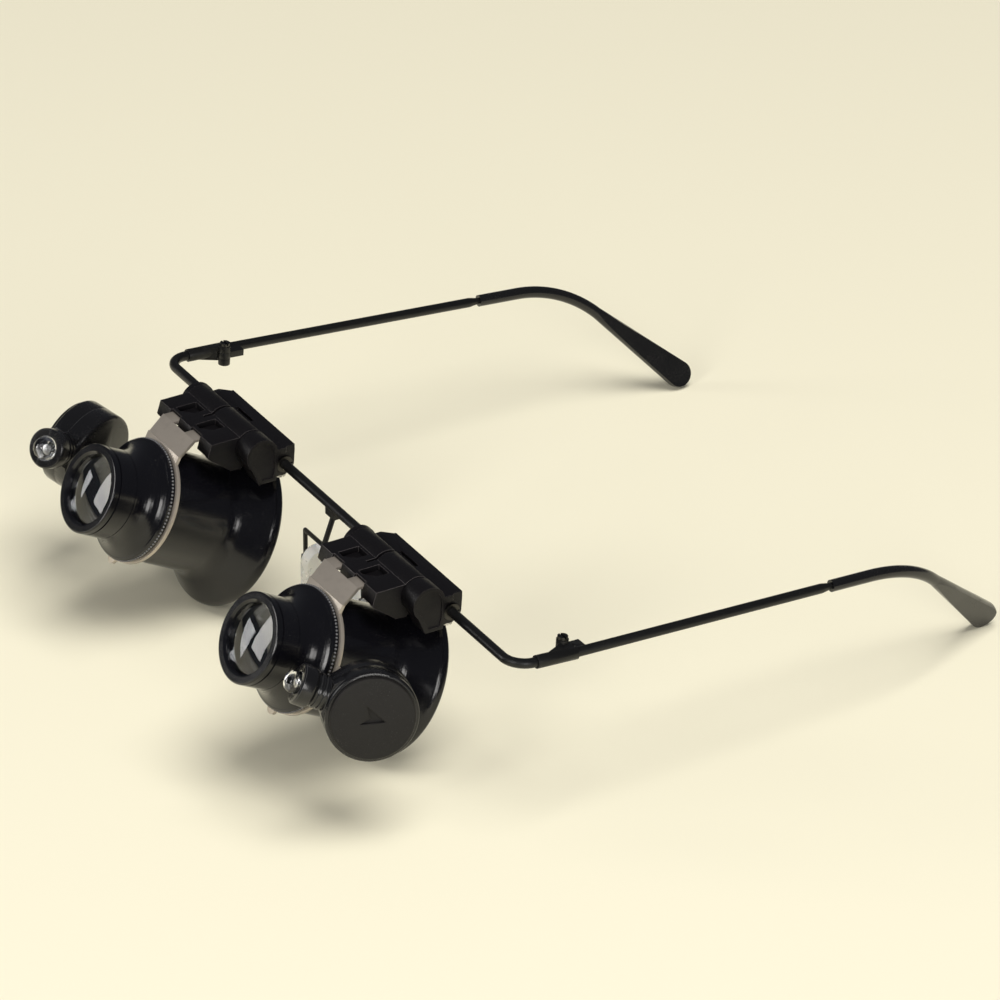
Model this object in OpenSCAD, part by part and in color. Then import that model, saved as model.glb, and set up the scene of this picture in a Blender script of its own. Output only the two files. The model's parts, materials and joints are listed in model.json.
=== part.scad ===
// Spectacle-frame loupe: two magnifiers on a wire brow bar, each on a flip-up clip and with a lamp.
// X runs along the bar (+X is the wearer's left), -Y is the way the wearer looks, Z is up.
// The origin is below the middle of the object, on the surface that it stands on.

/* [Brow bar] */
// Diameter of the bar's wire
bar_d = 2.1; // [1.8:0.1:2.4]
// Distance from the middle of the bar to the line of each side piece
half_bar = 73; // [71:0.5:80]
// Bend radius of the wire at each end of the bar, on its centre line
bend_r = 4.5; // [3.5:0.5:6]
// Distance from the bar back to the joint of each temple
joint_y = 14.4; // [13:0.2:18]
// Diameter of the sleeve over each end of the wire
block_d = 2.8; // [2.6:0.1:3.4]
// Length of that sleeve, forward of the joint
block_len = 9.4; // [8.4:0.2:9.6]

/* [Temples] */
// Angle at which the side pieces close in towards the head
temple_toe = 1.9; // [0:0.1:3]
// Diameter of the temple rods
rod_d = 2.1; // [1.9:0.1:2.4]
// Length of each rod from the joint to its ear sleeve
rod_len = 62.5; // [50:0.5:80]
// Length of the rod's core inside the ear sleeve
core_len = 8; // [6:0.5:8]
// Diameter of the core
core_d = 1.3; // [1:0.1:1.5]
// Diameter of the ear sleeve
tip_d = 2.6; // [2.4:0.1:3.2]
// Straight stretch at the start of the ear sleeve
tip_straight = 9.7; // [9.2:0.1:20]
// Radius of the bend over the ear
ear_r = 29; // [18:1:35]
// Angle of the bend over the ear
ear_angle = 42; // [30:1:60]
// Length of the paddle behind the ear
paddle_len = 25.5; // [18:0.5:34]
// Radius of the paddle's round end
paddle_r = 3.1; // [2.4:0.1:4]
// Thickness of the paddle
paddle_t = 2.2; // [1.8:0.1:2.6]
// Angle by which the ear ends lean towards the head
tip_lean = 21; // [0:1:30]
// Diameter of the temple hinge's barrel
barrel_d = 2.6; // [2.4:0.1:3.2]
// Height of the temple hinge's barrel
barrel_h = 4.4; // [4:0.1:5.2]
// Distance from the side line in to the hinge's axis
barrel_in = 2.7; // [2.7:0.1:3.2]
// Height of the temple's own knuckle between the two of the block
tongue_h = 1.5; // [1.2:0.1:1.8]
// Diameter of the hinge screw
hinge_screw_d = 1.2; // [1:0.1:1.3]

/* [Nose rest] */
// Diameter of the nose wire
nose_wire_d = 1.0; // [0.8:0.1:1.2]
// Distance from the middle to the axis of each pad's box
pad_x = 10.2; // [9.8:0.1:10.6]
// Drop from the bar to the middle of each pad
pad_drop = 18.6; // [17:0.2:20]
// Height of a pad
pad_h = 14; // [12:0.5:16]
// Width of a pad, front to back
pad_w = 7.6; // [6.5:0.1:8.5]
// Thickness of a pad
pad_t = 2.6; // [2.2:0.1:2.8]
// Lean of a pad from the upright, its foot away from the nose
pad_lean = 10; // [4:1:14]
// Thickness of the lug between the cheeks of its box
lug_t = 1.0; // [0.8:0.1:1.2]

/* [Clips] */
// Half the distance between the two magnifiers' axes
half_pd = 34.6; // [34:0.1:36]
// Length of a clip along the bar
clip_len = 29.2; // [28.4:0.2:30]
// Place of the clip's middle along X, from its magnifier's axis
clip_shift = -0.6; // [-1:0.1:0]
// Distance of the flip hinge in front of the bar
flip_y = 5.3; // [5.2:0.1:5.8]
// Height of the flip hinge above the bar
flip_z = 3.4; // [3.3:0.1:3.8]
// Outer radius of the leaf's knuckles
knuckle_r = 3.8; // [3.5:0.1:3.9]
// Diameter of the flip hinge's pin
pin_d = 1.6; // [1.4:0.1:2]
// Thickness of the end cheek on the -X side
thin_cheek = 1.3; // [1.2:0.1:2]
// Thickness of the end cheek on the +X side
thick_cheek = 5; // [4.4:0.1:5.4]
// Wall of the leaf
leaf_wall = 1.3; // [1.1:0.1:1.5]
// Height of the leaf's top face above the bar
leaf_top = 6.2; // [5.8:0.1:6.4]
// Distance from the bar to the leaf's front edge
leaf_reach = 14.6; // [14.4:0.1:15.2]
// Height of the rear plate's top face above the bar
rear_top = 4.0; // [3.8:0.1:4.4]
// Distance from the bar back to the rear plate's edge
rear_reach = 2.6; // [2.6:0.1:3.4]
// Wall of the spring-steel liner that grips the bar
liner_wall = 0.35; // [0.3:0.05:0.4]

/* [Magnifiers] */
// Angle by which the magnifiers' front ends are raised at rest
rest_tilt = 28.5; // [24:0.5:32]
// Distance from the bar forward to a magnifier's front, along its axis
front_reach = 34; // [33.4:0.1:34.4]
// Distance from the bar down to a magnifier's axis, square to it
axis_drop = 19.9; // [19.9:0.1:21]
// Length of a magnifier
loupe_len = 38; // [37:0.5:38.5]
// Radius of the front barrel
barrel_r = 9.6; // [9.4:0.1:9.8]
// Radius of the knurled flange
flange_r = 13.1; // [12.8:0.1:13.2]
// Length of the front cell up to the flange's back
cell_len = 13.2; // [12.9:0.1:13.5]
// Radius of the clear opening in front of the lens
aperture_r = 7.5; // [7:0.1:7.7]
// Radius of the lenses
lens_r = 8.1; // [8:0.1:8.3]
// Radius of the front cell's threaded spigot
spigot_r = 11.1; // [10.8:0.1:11.2]
// Length of the spigot inside the body
spigot_len = 3.6; // [3:0.1:4.2]
// Radius of the body behind the flange
body_r = 12.4; // [12.3:0.1:12.5]
// Radius of the eyecup's rim
cup_r = 18.2; // [17.6:0.1:18.4]
// Wall of the body and the eyecup
cup_wall = 1.1; // [1:0.1:1.3]
// Thickness of the nickel mount plate
plate_t = 0.8; // [0.7:0.1:0.9]
// Outer radius of the mount plate's ring
plate_r = 13.5; // [13.4:0.1:13.8]
// Width of the plate's tab up to the clip
tab_w = 13; // [12:0.5:14]

/* [Lamps] */
// Distance from a magnifier's axis out to the middle of its lamp
lamp_out = 25.8; // [25.4:0.1:27]
// Distance from a magnifier's front back to the middle of its lamp
lamp_back = 15; // [14.5:0.1:15.5]
// Angle at which a lamp looks in towards the work
lamp_toe = 22.8; // [20:0.2:25]
// Radius of a coin cell
cell_r = 8; // [7.8:0.1:8.2]
// Distance from a cell's edge out to the edge of the battery cap
cap_rim = 0.8; // [0.7:0.05:0.9]
// Wall of the battery case round its cap
case_wall = 0.8; // [0.7:0.05:1.1]
// Thickness of a coin cell
cell_t = 2; // [1.8:0.1:2]
// Distance from the seam to the case's inner face
inner_depth = 4.4; // [4.2:0.1:4.8]
// Distance from the seam to the case's outer face
outer_depth = 4.0; // [3.8:0.1:4.2]
// Distance by which the seam lies outside the lamp's own axis
seam_out = 0.6; // [0:0.1:0.8]
// Distance from the case's middle to the face of the lamp head
head_reach = 15.9; // [15.5:0.1:17]
// Radius of the lamp head
head_r = 4.3; // [4.2:0.1:4.6]
// Length of the lamp head
head_len = 3.6; // [3.2:0.1:4]
// Radius of the ribbed neck
neck_r = 3.3; // [3.2:0.1:3.5]
// Number of ribs on the neck
neck_ribs = 2; // [1:1:2]
// Radius of the lamp's bulb
bulb_r = 2.4; // [2.2:0.1:2.5]
// Diameter of the pin that a lamp swivels on
swivel_d = 2.2; // [2:0.1:2.4]

/* [Fits] */
// Radial play of a turning or sliding fit
run_fit = 0.05; // [0.03:0.01:0.08]
// Play between pieces that stay together
seat_gap = 0.02; // [0.01:0.01:0.04]
// Gap between faces that pass each other
pass_gap = 0.2; // [0.15:0.05:0.25]

/* [Hidden] */
$fn = 64;

bar_r = bar_d / 2;
rod_r = rod_d / 2;
core_r = core_d / 2;
tip_r = tip_d / 2;
barrel_r_hinge = barrel_d / 2;
pin_r = pin_d / 2;
swivel_r = swivel_d / 2;
cut = 0.5; // how far a cutting solid runs past the face that it opens
slack = 1; // length by which a bore is deeper than what it holds

// a magnifier is drawn along its own axis, and these give where its points lie about the bar
function from_bar_y(along, up) =
    (along - front_reach) * cos(rest_tilt) + (up - axis_drop) * sin(rest_tilt);
function from_bar_z(along, up) =
    (up - axis_drop) * cos(rest_tilt) - (along - front_reach) * sin(rest_tilt);

// the eyecups' rounded rims stand on the surface
lip_r = 0.7;
bar_z = lip_r - from_bar_z(loupe_len - lip_r, lip_r - cup_r);

// the ear end of a temple, in the plane that it bends in, and the slope that sets it on the surface
ear_y = rod_len + tip_straight;
end_y = ear_y + ear_r * sin(ear_angle) + paddle_len * cos(ear_angle);
end_drop = ear_r * (1 - cos(ear_angle)) + paddle_len * sin(ear_angle);
end_reach = joint_y + end_y;
paddle_low = paddle_r * cos(tip_lean) + paddle_t / 2 * sin(tip_lean);
hung_drop = end_drop * cos(tip_lean);
temple_slope = asin((bar_z - paddle_low) / norm([end_reach, hung_drop])) - atan2(hung_drop, end_reach);
rear_extent = end_reach * cos(temple_slope) - hung_drop * sin(temple_slope) + paddle_r;
front_extent = -from_bar_y(0, -barrel_r);
bar_y = (front_extent - rear_extent) / 2;

// points of an arc about [x, y]
function arc(x, y, r, from, to, steps) =
    [for (i = [0:steps]) let (a = from + (to - from) * i / steps) [x + r * cos(a), y + r * sin(a)]];
// points of a quarter of an ellipse that leaves [r, y] outwards and ends along the axis
function dome(r, y, out, deep, steps) =
    [for (i = [0:steps]) let (a = 90 * i / steps) [r + out * sin(a), y + deep * (1 - cos(a))]];
function reversed(points) = [for (i = [len(points) - 1:-1:0]) points[i]];

module on_bar() {
    translate([0, bar_y, bar_z]) children();
}

module on_side(side) {
    mirror([side < 0 ? 1 : 0, 0, 0]) children();
}

// both clips are alike, so neither is mirrored
module at_clip(side) {
    on_bar() translate([side * half_pd + clip_shift, 0, 0]) children();
}

// at a magnifier's front, with Y along its axis towards the eye
module at_loupe(side) {
    on_bar() translate([side * half_pd, 0, 0])
        rotate([-rest_tilt, 0, 0]) translate([0, -front_reach, -axis_drop]) on_side(side) children();
}

// at the middle of a lamp's battery case, with -Y the way it shines and X through the case
module in_lamp() {
    translate([lamp_out, lamp_back, 0]) rotate([0, 0, -lamp_toe]) children();
}

// a profile of [distance back, height] points, drawn out along X
module across(from, to) {
    translate([from, 0, 0]) rotate([90, 0, 90]) linear_extrude(to - from) children();
}

// a profile of [radius, distance back] points, turned about Y
module turned() {
    rotate([-90, 0, 0]) rotate_extrude($fn = 96) children();
}

// a profile of [radius, distance outwards] points, turned about X
module turned_x() {
    rotate([0, 90, 0]) rotate_extrude($fn = 96) children();
}

module rod_x(r, from, to) {
    translate([from, 0, 0]) rotate([0, 90, 0]) cylinder(r = r, h = to - from);
}

module rod_y(r, from, to) {
    translate([0, from, 0]) rotate([-90, 0, 0]) cylinder(r = r, h = to - from);
}

module rod_z(r, from, to) {
    translate([0, 0, from]) cylinder(r = r, h = to - from);
}

// a straight stretch of wire between two points, with a round start
module wire(a, b, r) {
    v = b - a;
    translate(a) {
        sphere(r = r);
        rotate([0, acos(v[2] / norm(v)), atan2(v[1], v[0])]) cylinder(r = r, h = norm(v));
    }
}

// Brow bar

// the bar's ends are bent back and follow the temples' slope
module on_bar_ends(side) {
    on_bar() rotate([-temple_slope, 0, 0]) on_side(side) children();
}

module front_bar() {
    color("#1c1c1f") for (side = [-1, 1]) on_bar_ends(side) {
        rod_x(bar_r, 0, half_bar - bend_r);
        translate([half_bar - bend_r, bend_r, 0])
            rotate([0, 0, -90]) rotate_extrude(angle = 90) translate([bend_r, 0]) circle(r = bar_r);
        translate([half_bar, 0, 0]) rod_y(bar_r, bend_r, joint_y);
    }
}

// the temple hinge's axis, inside the line of the side pieces and just before the joint
hinge_x = half_bar - barrel_in;
hinge_y = joint_y - barrel_r_hinge - 2 * pass_gap;

module hinge_block(side) {
    color("#232327") on_bar_ends(side) difference() {
        union() {
            translate([half_bar, 0, 0]) rod_y(block_d / 2, joint_y - block_len, joint_y);
            translate([hinge_x, hinge_y, 0]) rod_z(barrel_r_hinge, -barrel_h / 2, barrel_h / 2);
            // the web from the barrel out to the sleeve
            translate([hinge_x, hinge_y - barrel_r_hinge, -block_d / 2])
                cube([barrel_in, barrel_d, block_d]);
            // the fillet that runs forward along the sleeve
            translate([hinge_x, hinge_y, -tongue_h]) linear_extrude(2 * tongue_h)
                polygon([[0, 0], [barrel_in, 0], [barrel_in, -2 * barrel_d]]);
        }
        translate([half_bar, 0, 0]) rod_y(bar_r + seat_gap, 0, joint_y + cut);
        translate([hinge_x, hinge_y, 0]) {
            rod_z(hinge_screw_d / 2 + seat_gap, -barrel_h, barrel_h);
            // the slot for the temple's knuckle
            rod_z(barrel_r_hinge + pass_gap, -tongue_h / 2 - run_fit, tongue_h / 2 + run_fit);
            translate([-barrel_d, 0, -tongue_h / 2 - run_fit])
                cube([barrel_d + barrel_r_hinge + pass_gap, barrel_d, tongue_h + 2 * run_fit]);
        }
    }
}

screw_head_h = 0.7;
slot_w = 0.35;

module hinge_screws() {
    top = barrel_h / 2 + screw_head_h;
    color("silver") for (side = [-1, 1]) on_bar_ends(side) {
        translate([hinge_x, hinge_y, 0]) difference() {
            union() {
                rod_z(hinge_screw_d / 2, -barrel_h / 2, barrel_h / 2 + seat_gap);
                rod_z(barrel_r_hinge * 0.85, barrel_h / 2 + seat_gap, top);
            }
            translate([-barrel_d, -slot_w / 2, top - slot_w]) cube([2 * barrel_d, slot_w, barrel_d]);
        }
    }
}

// Temples

neck_len = 2.4;
joint_gap = 0.05;

// at the joint, with Y along the rod; the toe turns about the hinge's axis
module at_temple(side) {
    on_bar_ends(side) translate([hinge_x, hinge_y, 0]) rotate([0, 0, temple_toe])
        translate([barrel_in, joint_y - hinge_y, 0]) children();
}

module temple_rod(side) {
    color("#1c1c1f") at_temple(side) {
        rod_y(rod_r, joint_gap, rod_len - neck_len);
        translate([0, rod_len - neck_len, 0]) rotate([-90, 0, 0])
            cylinder(r1 = rod_r, r2 = core_r, h = neck_len);
        rod_y(core_r, rod_len - slack, rod_len + core_len);
        // the knuckle reaches back past the block before it turns out to the rod
        difference() {
            translate([-barrel_in, hinge_y - joint_y, -tongue_h / 2]) {
                cylinder(r = barrel_r_hinge, h = tongue_h);
                translate([-barrel_r_hinge / 2, 0, 0])
                    cube([barrel_r_hinge, joint_y - hinge_y + joint_gap + barrel_d, tongue_h]);
                translate([0, joint_y - hinge_y + joint_gap + pass_gap, 0])
                    cube([barrel_in, barrel_d - pass_gap, tongue_h]);
            }
            translate([-barrel_in, hinge_y - joint_y, 0])
                rod_z(hinge_screw_d / 2 + run_fit, -barrel_h, barrel_h);
        }
    }
}

module temple_tip(side) {
    thin_from = tip_r + seat_gap;
    thin_to = paddle_t / 2;
    far = paddle_len + 2 * paddle_r;
    color("#101012") at_temple(side) rotate([0, tip_lean, 0]) difference() {
        union() {
            rod_y(tip_r, rod_len, ear_y);
            translate([0, ear_y, -ear_r]) rotate([0, -90, 0]) {
                rotate_extrude(angle = ear_angle) translate([ear_r, 0]) circle(r = tip_r);
                // the paddle is a cone with a ball at its end, its two sides cut flat
                rotate([0, 0, ear_angle]) translate([ear_r, 0, 0]) intersection() {
                    union() {
                        translate([0, -cut, 0]) rotate([-90, 0, 0])
                            cylinder(r1 = tip_r - run_fit, r2 = paddle_r, h = paddle_len + cut);
                        translate([0, paddle_len, 0]) sphere(r = paddle_r);
                    }
                    across(-2 * paddle_r, 2 * paddle_r) polygon([
                        [-2 * cut, thin_from], [paddle_len / 2, thin_to], [far, thin_to],
                        [far, -thin_to], [paddle_len / 2, -thin_to], [-2 * cut, -thin_from]
                    ]);
                }
            }
        }
        rod_y(core_r + seat_gap, rod_len - cut, rod_len + core_len + slack);
    }
}

// Nose rest

box_half = lug_t / 2 + run_fit; // from the middle of the lug to each cheek of its box
box_wall = 0.6;
box_len = 2.6;
box_deep = 1.4; // from the pad's axis out to the box's back
pad_screw_r = 0.4;
pad_clear = 1.3; // from the pad's axis in to the back of the pad
stem_r = nose_wire_d * 0.6;
fork_drop = 8.6; // from the bar down to where the stem divides
fork_out = 2.4; // how far the fork lies in front of the bar
saddle_w = 3.6;
saddle_deep = 2;

module at_pad(side) {
    on_bar() on_side(side) translate([pad_x, 0, -pad_drop]) rotate([0, -pad_lean, 0]) children();
}

module nose_wire() {
    r = nose_wire_d / 2;
    fork = [0, -fork_out, -fork_drop];
    back = pad_x + box_deep + box_wall; // line of the wire behind each pad
    bend = [back, 0, -pad_drop + pad_h / 2];
    color("#2a2a2d") {
        on_bar() {
            wire([0, 0, -bar_r - nose_wire_d], fork, stem_r);
            translate(fork) sphere(r = stem_r);
            for (side = [-1, 1]) on_side(side) {
                wire(fork, bend, r);
                wire(bend, [back, 0, -pad_drop], r);
            }
            // the saddle that is soldered to the bar's underside
            difference() {
                translate([-saddle_w / 2, -saddle_deep / 2, -bar_r - nose_wire_d])
                    cube([saddle_w, saddle_deep, bar_r + nose_wire_d - 0.3]);
                rod_x(bar_r + seat_gap, -saddle_w, saddle_w);
            }
        }
        for (side = [-1, 1]) at_pad(side) difference() {
            translate([-box_deep / 2, -box_half - box_wall, -box_len / 2])
                cube([1.5 * box_deep + box_wall, 2 * (box_half + box_wall), box_len]);
            translate([-box_deep, -box_half, -box_len])
                cube([2 * box_deep, 2 * box_half, 2 * box_len]);
            rod_y(pad_screw_r + seat_gap, -3, 3);
        }
    }
}

module pad_screws() {
    head = box_half + box_wall + seat_gap;
    color("#8a8a8c") for (side = [-1, 1]) at_pad(side) {
        rod_y(pad_screw_r, -head - pad_screw_r / 2, head);
        rod_y(2 * pad_screw_r, -head - pad_screw_r, -head);
    }
}

module nose_pad(side) {
    color([0.93, 0.93, 0.9, 0.7]) at_pad(side) {
        difference() {
            translate([-pad_clear - pad_t / 2, -lug_t / 2, -lug_t])
                cube([pad_clear + pad_t / 2 + 2 * pad_screw_r, lug_t, 2 * lug_t]);
            rod_y(pad_screw_r + run_fit, -3, 3);
        }
        translate([-pad_clear - pad_t / 2, 0, 0]) rotate([0, 90, 0]) hull() {
            translate([-pad_h / 2 + pad_w / 2, 0, 0]) pad_disc(pad_w / 2);
            translate([pad_h / 2 - pad_w * 0.42, 0, 0]) pad_disc(pad_w * 0.42);
        }
    }
}

// the pad bulges a little on the side of the nose
module pad_disc(r) {
    cylinder(r = r, h = pad_t * 0.35, center = true, $fn = 32);
    cylinder(r = r - pad_t * 0.3, h = pad_t, center = true, $fn = 32);
}

// Clips: the rear half grips the bar, and the leaf flips up about a pin in front of it

clip_from = -clip_len / 2;
clip_to = clip_len / 2;
leaf_from = clip_from + thin_cheek + pass_gap;
leaf_to = clip_to - thick_cheek - pass_gap;
leaf_mid = (leaf_from + leaf_to) / 2 - 0.5; // the seam between the knuckles
liner_in = bar_r + run_fit;
liner_out = liner_in + liner_wall;
liner_flange = 0.4;
flange_out = liner_out + 0.4;
grip_in = liner_out + run_fit;
grip_out = grip_in + 0.9;
grip_from = clip_from + 2;
grip_to = clip_to - liner_flange - run_fit;
cheek_r = knuckle_r - 0.1;

module at_flip() {
    translate([0, -flip_y, flip_z]) children();
}

module clip_liner(side) {
    color("#a9a9a6") at_clip(side) difference() {
        union() {
            rod_x(liner_out, grip_from - run_fit - liner_flange, clip_to);
            rod_x(flange_out, grip_from - run_fit - liner_flange, grip_from - run_fit);
            rod_x(flange_out, grip_to + run_fit, clip_to);
        }
        rod_x(liner_in, clip_from, clip_to + cut);
        // the split that lets it spring onto the bar
        translate([clip_from, 0, -0.2]) cube([clip_len + cut, liner_out + 1, 0.4]);
    }
}

plate_low = rear_top - 1.3; // underside of the rear plate
tongue_low = -3.2; // foot of the cheeks
tongue_from = -flip_y - 1;
tongue_to = -flip_y + 3.1;
screw_x = clip_to - 2.4;
clamp_r = 0.7;
boss_r_clamp = 1.6;
boss_low = -grip_out - 0.5;
corner = 2.4; // cut off each rear corner of the rear plate
pin_end = 0.8; // closed end of the pin's bore in the thick cheek
face_in = 0.35; // depth of the thick cheek's sunk face
face_rim = 0.8;
rear_slot_len = 6.8;
rear_slot_w = 0.8;

// cheek profile, made smaller all round: a disc about the pin that runs down into a tapered tongue
module cheek(from, to, less = 0) {
    r = cheek_r - less;
    at_flip() rod_x(r, from, to);
    across(from, to) polygon([
        [-flip_y - r, flip_z], [-flip_y + r, flip_z], [-flip_y + r, 0],
        [tongue_to - less, tongue_low + less], [tongue_from + less, tongue_low + less]
    ]);
}

module clip_base(side) {
    thin_to = clip_from + thin_cheek;
    thick_from = clip_to - thick_cheek;
    color("#242428") at_clip(side) difference() {
        union() {
            rod_x(grip_out, grip_from, grip_to);
            // the block between the grip and the rear plate
            across(grip_from, grip_to) polygon([
                [-grip_out, 0], [grip_out, 0], [rear_reach, plate_low], [rear_reach, rear_top],
                [-grip_out, rear_top]
            ]);
            // the rear plate, its two rear corners cut off
            translate([0, 0, plate_low]) linear_extrude(rear_top - plate_low) polygon([
                [clip_from, -flip_y / 2], [clip_to, -flip_y / 2],
                [clip_to, rear_reach - corner], [clip_to - corner, rear_reach],
                [clip_from + corner, rear_reach], [clip_from, rear_reach - corner]
            ]);
            cheek(clip_from, thin_to);
            cheek(thick_from, clip_to);
            // the webs from the cheeks back to the plate and to the grip
            across(clip_from, thin_to) polygon([
                [-flip_y, rear_top], [rear_reach - corner, rear_top],
                [rear_reach - corner, plate_low], [-flip_y, 0]
            ]);
            across(thick_from, grip_to)
                polygon([[-flip_y, 0], [0, grip_out], [0, -grip_out], [-flip_y, tongue_low]]);
            // the boss that takes the clamping screw
            translate([screw_x, 0, 0]) rod_z(boss_r_clamp, boss_low, 0);
        }
        rod_x(grip_in, clip_from - cut, clip_to + cut);
        rod_x(flange_out + run_fit, grip_to, clip_to + cut);
        at_flip() rod_x(pin_r + seat_gap, clip_from - cut, clip_to - pin_end);
        at_flip() rod_x(knuckle_r + pass_gap, leaf_from - pass_gap, leaf_to + pass_gap);
        cheek(clip_to - face_in, clip_to + cut, face_rim);
        // the slot behind the knuckles
        translate([leaf_mid - rear_slot_len / 2, -rear_slot_w, rear_top - rear_slot_w])
            cube([rear_slot_len, rear_slot_w, rear_slot_w + cut]);
        translate([screw_x, 0, 0]) rod_z(clamp_r + seat_gap, 2 * boss_low, 0);
    }
}

module clip_screw(side) {
    seat = boss_low - seat_gap;
    color("silver") at_clip(side) translate([screw_x, 0, 0]) difference() {
        union() {
            rod_z(clamp_r, seat, -liner_out - run_fit);
            rod_z(1.25, seat - screw_head_h, seat);
        }
        translate([-2, -slot_w / 2, seat - 2 * screw_head_h]) cube([4, slot_w, 1.5 * screw_head_h]);
    }
}

pin_head = 0.4;

module flip_pin(side) {
    color("silver") at_clip(side) at_flip() {
        rod_x(pin_r, clip_from - seat_gap - pin_head, clip_to - pin_end - seat_gap);
        rod_x(pin_r + 0.5, clip_from - seat_gap - pin_head, clip_from - seat_gap);
    }
}

spring_r = 1.5;
spring_half = 2.7;

module flip_spring(side) {
    color("silver") at_clip(side) at_flip() difference() {
        rod_x(spring_r, leaf_mid - spring_half, leaf_mid + spring_half);
        rod_x(pin_r + pass_gap, leaf_mid - clip_len, leaf_mid + clip_len);
    }
}

lip_run = 0.9; // how far the lip's lower edge lies in front of its upper one
lip_low = 3.4;
seam = 0.8; // gap between the two knuckles
ridge_back = 1.9; // from the pin back to the step behind the knuckles' ridge
ridge_up = 1.2;
window_x = 4.2; // from the seam to the middle of each window
window_w = 4;
window_front = 1.3; // from the leaf's front edge to a window
window_len = 4.8;
window_cut = 2.2; // cut off the window's front corner on the +X side
teeth_mid = leaf_mid + 0.4; // middle between the two teeth of the mount plate
tooth_x = 4.5; // from there to the middle of each tooth
tooth_w = 4.1;
notch_deep = 0.5; // how far a notch runs into the leaf's front edge

module clip_leaf(side) {
    front = -leaf_reach;
    under = leaf_top - leaf_wall;
    window_in = window_w / 2;
    color("#29292d") at_clip(side) difference() {
        union() {
            across(leaf_from, leaf_to) polygon([
                [front - lip_run, lip_low], [front, leaf_top], [-flip_y, leaf_top], [-flip_y, under],
                [front + leaf_wall / 2, under], [front - lip_run + leaf_wall, lip_low]
            ]);
            // the side walls
            for (x = [leaf_from, leaf_to - leaf_wall]) across(x, x + leaf_wall) polygon([
                [front - lip_run + 0.2, lip_low - 0.5], [front - lip_run, lip_low],
                [front, leaf_top], [-flip_y, leaf_top], [-flip_y - 0.8, flip_z - knuckle_r + 0.4],
                [-flip_y - 2.5, -1.4], [-flip_y - 4.8, -1.2]
            ]);
            at_flip() rod_x(knuckle_r, leaf_from, leaf_to);
        }
        at_flip() {
            rod_x(pin_r + run_fit, leaf_from - cut, leaf_to + cut);
            translate([leaf_mid, 0, 0])
                rod_x(spring_r + pass_gap, -spring_half - pass_gap, spring_half + pass_gap);
            // the seam between the knuckles, and the step behind their ridge
            translate([leaf_mid - seam / 2, -2 * knuckle_r, -2 * knuckle_r])
                cube([seam, 4 * knuckle_r, 4 * knuckle_r]);
            translate([leaf_from - cut, ridge_back, ridge_up])
                cube([leaf_to - leaf_from + 2 * cut, knuckle_r, knuckle_r]);
        }
        for (x = [-window_x, window_x]) translate([leaf_mid + x, front + window_front, under - 0.1])
            linear_extrude(leaf_wall + cut) polygon([
                [-window_in, 0], [window_in - window_cut, 0], [window_in, window_cut],
                [window_in, window_len], [-window_in, window_len]
            ]);
        // the notches that take the mount plate's teeth
        for (x = [-tooth_x, tooth_x])
            translate([teeth_mid + x - tooth_w / 2 - seat_gap, front - 2 * lip_run, lip_low - 1])
                cube([tooth_w + 2 * seat_gap, 2 * lip_run + notch_deep, leaf_top]);
    }
}

// Magnifiers

plate_y = cell_len + seat_gap;
plate_back = plate_y + plate_t;
ear_x = body_r + 1.8; // inner face of the lamp's ear
ear_t = 1.0;
ear_w = 6;
swivel_y = plate_back + 2.9;
lug_r = 1.3;
knee_up = body_r + 1.15; // where the tab bends back from the ring's plane
knee_in = 0.3; // how far the tab's sheet starts inside the plate that carries it
tab_gap = 1.7; // from the tab's upper edge to the leaf's front edge
tab_low = 0.6; // from the leaf's top face down to the tab's upper edge
tooth_in = 0.2; // how far a tooth starts inside the sheet

module mount_plate(side) {
    low_y = from_bar_y(plate_y + knee_in, knee_up);
    low_z = from_bar_z(plate_y + knee_in, knee_up);
    top_y = -leaf_reach - tab_gap;
    top_z = leaf_top - tab_low;
    top_x = clip_shift + teeth_mid;
    top_half = tooth_x + tooth_w / 2 + 0.15;
    sheet = norm([top_y - low_y, top_z - low_z]);
    color("#c9c8c4") {
        at_loupe(side) difference() {
            union() {
                rod_y(plate_r, plate_y, plate_back);
                translate([-tab_w / 2 - 0.15, plate_y, 0]) cube([tab_w + 0.3, plate_t, knee_up]);
                // the ear for the lamp
                translate([0, plate_y, -ear_w / 2]) cube([ear_x + ear_t, plate_t, ear_w]);
                translate([ear_x, plate_y, -ear_w / 2]) cube([ear_t, swivel_y - plate_y, ear_w]);
                translate([0, swivel_y, 0]) rod_x(ear_w / 2, ear_x, ear_x + ear_t);
                // the small lug below
                translate([0, 0, -plate_r]) rod_y(lug_r, plate_y, plate_back);
            }
            rod_y(spigot_r + seat_gap, plate_y - cut, plate_back + cut);
            translate([0, swivel_y, 0]) rod_x(swivel_r + seat_gap, ear_x - cut, ear_x + ear_t + cut);
        }
        on_bar() translate([side * half_pd, 0, 0]) {
            // the tab's sheet leans back to the leaf and across to its middle
            translate([0, low_y, low_z]) rotate([atan2(top_z - low_z, top_y - low_y), 0, 0])
                translate([0, 0, -plate_t]) linear_extrude(plate_t) polygon([
                    [-tab_w / 2, -knee_in], [tab_w / 2, -knee_in],
                    [top_x + top_half, sheet], [top_x - top_half, sheet]
                ]);
            // the teeth that reach into the leaf's notches
            for (x = [-tooth_x, tooth_x])
                translate([top_x + x - tooth_w / 2, top_y - tooth_in, top_z - plate_t + tooth_in / 2])
                    cube([tooth_w, tooth_in + tab_gap + notch_deep - seat_gap, plate_t - tooth_in]);
        }
    }
}

boss_r = 2.7;
boss_from = ear_x + ear_t + pass_gap;
pin_reach = lamp_out - inner_depth - 0.8;

module swivel_pin(side) {
    color("silver") at_loupe(side) translate([0, swivel_y, 0]) {
        rod_x(swivel_r, ear_x - seat_gap, pin_reach);
        rod_x(swivel_r + 0.8, ear_x - seat_gap - 0.8, ear_x - seat_gap);
    }
}

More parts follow.
